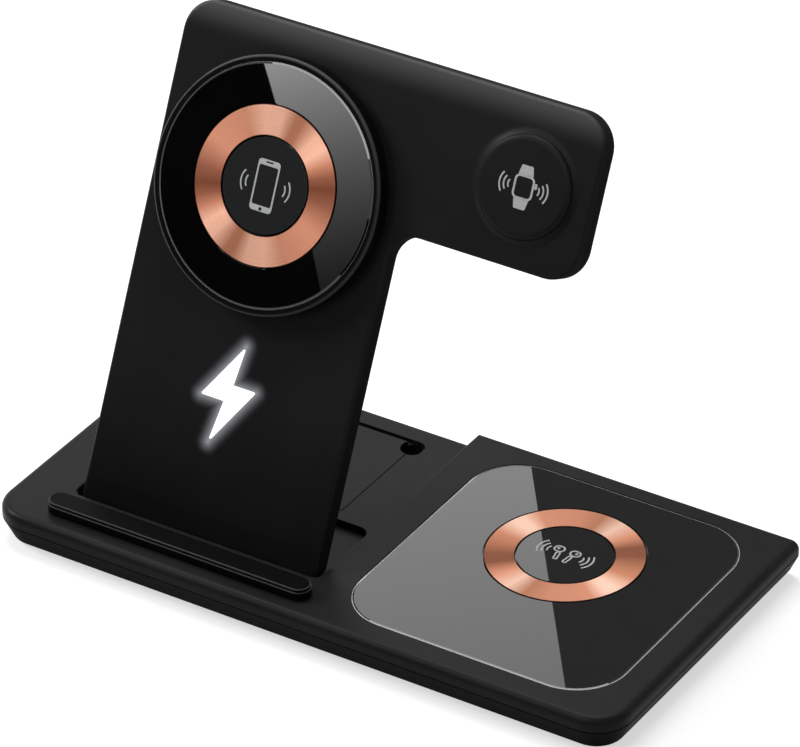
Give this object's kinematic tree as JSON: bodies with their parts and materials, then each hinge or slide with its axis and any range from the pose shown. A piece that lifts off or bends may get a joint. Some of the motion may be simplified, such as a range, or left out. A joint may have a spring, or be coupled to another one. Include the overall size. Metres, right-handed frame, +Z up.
{
  "type": "folding wireless charging station",
  "caption": "Black wireless charging station: a low base with a glass earbud pad and phone rest, and a leaning L-shaped stand with a round phone charger and a watch charger that folds back.",
  "frame": {"origin": "on the table, under the centre of the base", "axes": "+X to the right along the base's front edge, +Y to the back, +Z up"},
  "size_m": [0.168, 0.0842, 0.1172],
  "materials": {
    "soft_black": "soft-touch matte",
    "black_glass": "polished, black behind",
    "copper_ring": "spun satin copper",
    "soft_pad": "matte silicone",
    "foot_rubber": "matte",
    "steel": "brushed",
    "steel_dark": "blackened",
    "friction_sleeve": "matte",
    "coil_wire": "enamelled wire",
    "ferrite": "matte",
    "magnet": "plated",
    "board": "solder mask",
    "chip": "moulded",
    "lit_diffuser": "frosted",
    "led": "clear over phosphor"
  },
  "bodies": {
    "base": {"base_tray": "soft_black", "base_shell": "soft_black", "feet": "foot_rubber", "tray_screws": "steel", "pin_keepers": "steel", "hinge_pin": "steel", "pad_glass": "black_glass", "pad_ring": "copper_ring", "pad_coil": "coil_wire", "pad_ferrite": "ferrite", "main_board": "board", "board_parts": "chip", "power_inlet": "steel", "rest_bar": "soft_black", "rest_pad": "soft_pad"},
    "stand": {"stand_shell": "soft_black", "stand_cover": "soft_black", "hinge_bracket": "steel_dark", "bracket_screws": "steel_dark", "hinge_sleeves": "friction_sleeve", "disc_housing": "soft_black", "disc_glass": "black_glass", "disc_ring": "copper_ring", "phone_ferrite": "ferrite", "phone_coil": "coil_wire", "phone_magnets": "magnet", "stand_board": "board", "light_guide": "lit_diffuser", "light_board": "board", "leds": "led", "watch_coil": "coil_wire", "watch_magnet": "magnet", "watch_ferrite": "ferrite"}
  },
  "joints": [
    {"name": "stand_fold", "type": "hinge", "parent": "base", "child": "stand", "pos_m": [0, -0.0226, 0.0068], "axis": [1, 0, 0], "range_deg": [-64.6, 0]}
  ]
}
